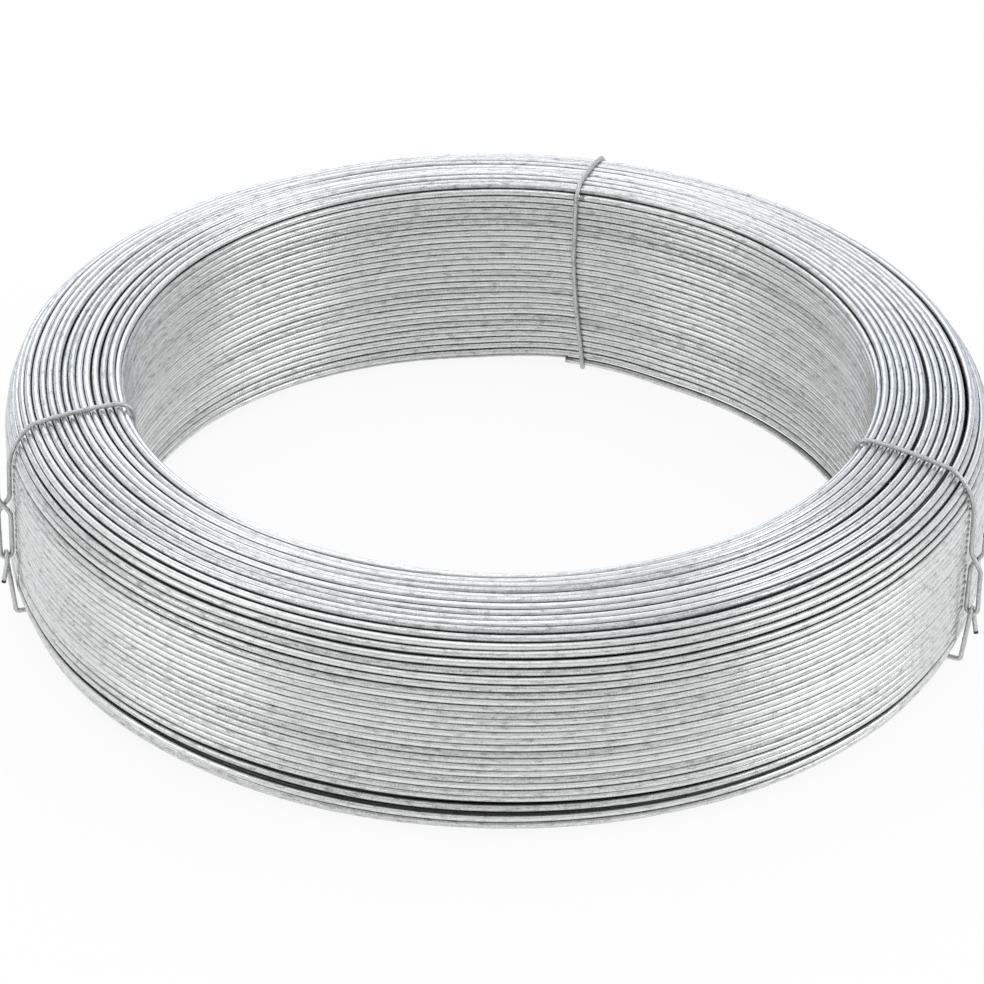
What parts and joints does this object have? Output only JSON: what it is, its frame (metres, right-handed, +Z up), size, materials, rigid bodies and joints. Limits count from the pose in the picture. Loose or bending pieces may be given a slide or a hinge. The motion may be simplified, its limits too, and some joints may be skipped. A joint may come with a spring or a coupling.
{
  "type": "coil of galvanised steel wire",
  "caption": "Flat-lying coil of drawn, galvanised steel wire in close turns round an open eye, held by hooked wire ties.",
  "frame": {"origin": "on the floor, at the centre of the coil's eye", "axes": "+Z up along the axis of the coil, out of its eye; -Y towards the side that faces the viewer in the picture, with the back tie near +Y"},
  "size_m": [0.388, 0.391, 0.0909],
  "materials": {
    "coil_wire": "bright galvanised, drawn",
    "tie_wire": "galvanised, slightly dull"
  },
  "bodies": {
    "root": {"wire_coil": "coil_wire", "tie_back": "tie_wire", "tie_left": "tie_wire", "tie_right": "tie_wire"}
  },
  "joints": []
}
